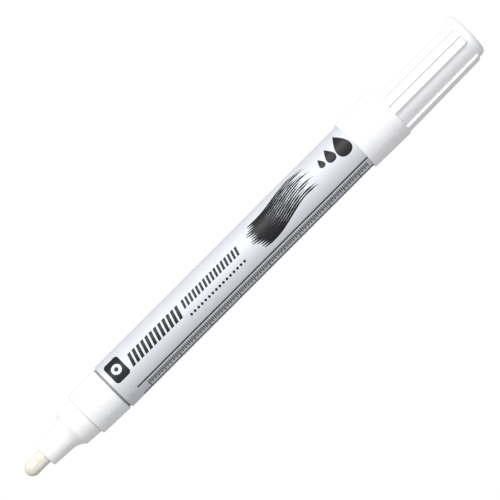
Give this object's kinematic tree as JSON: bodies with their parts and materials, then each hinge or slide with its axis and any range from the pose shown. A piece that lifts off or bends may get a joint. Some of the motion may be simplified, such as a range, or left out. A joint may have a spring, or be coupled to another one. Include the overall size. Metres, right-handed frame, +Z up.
{
  "type": "permanent marker",
  "caption": "Permanent marker with a lacquered aluminium barrel, a bullet nib on a sprung ink valve, and a ribbed white cap that is pushed onto the tail and pulls off.",
  "frame": {"origin": "centre of the bounding box's bottom face: under the middle of the marker, on the surface it lies on", "axes": "+X along the marker's axis from the nib to the cap, +Z up through the printed side, +Y to the left seen from the nib"},
  "size_m": [0.1484, 0.0146, 0.0146],
  "materials": {
    "nib_fibre": "pressed polyester fibre, dry, cream coloured",
    "white_plastic": "moulded polypropylene, soft gloss",
    "dark_rubber": "matt dark grey elastomer",
    "seat_rubber": "matt grey elastomer",
    "natural_plastic": "uncoloured polyethylene, waxy",
    "spring_steel": "drawn stainless wire",
    "lacquered_aluminium": "pale silver lacquer with printing in black",
    "ball_steel": "polished steel"
  },
  "bodies": {
    "barrel": {"barrel_tube": "lacquered_aluminium", "barrel_gasket": "dark_rubber", "front_collar": "white_plastic", "nib_holder": "white_plastic", "valve_seat": "seat_rubber", "valve_cage": "natural_plastic", "valve_spring": "spring_steel"},
    "nib_and_stem": {"nib": "nib_fibre", "valve_stem": "natural_plastic"},
    "cap": {"cap_shell": "white_plastic", "inner_cap": "natural_plastic"},
    "ball": {"mixing_ball": "ball_steel"}
  },
  "joints": [
    {"name": "nib_press", "type": "slide", "parent": "barrel", "child": "nib_and_stem", "axis": [1, 0, 0], "range_m": [0, 0.002], "stiffness_N_per_m": 600, "springref_m": -0.0025, "deforming": ["valve_spring"]},
    {"name": "cap_pull", "type": "slide", "parent": "barrel", "child": "cap", "axis": [1, 0, 0], "range_m": [0, 0.03]},
    {"name": "ball_run", "type": "slide", "parent": "barrel", "child": "ball", "axis": [1, 0, 0], "range_m": [0, 0.0691]}
  ]
}
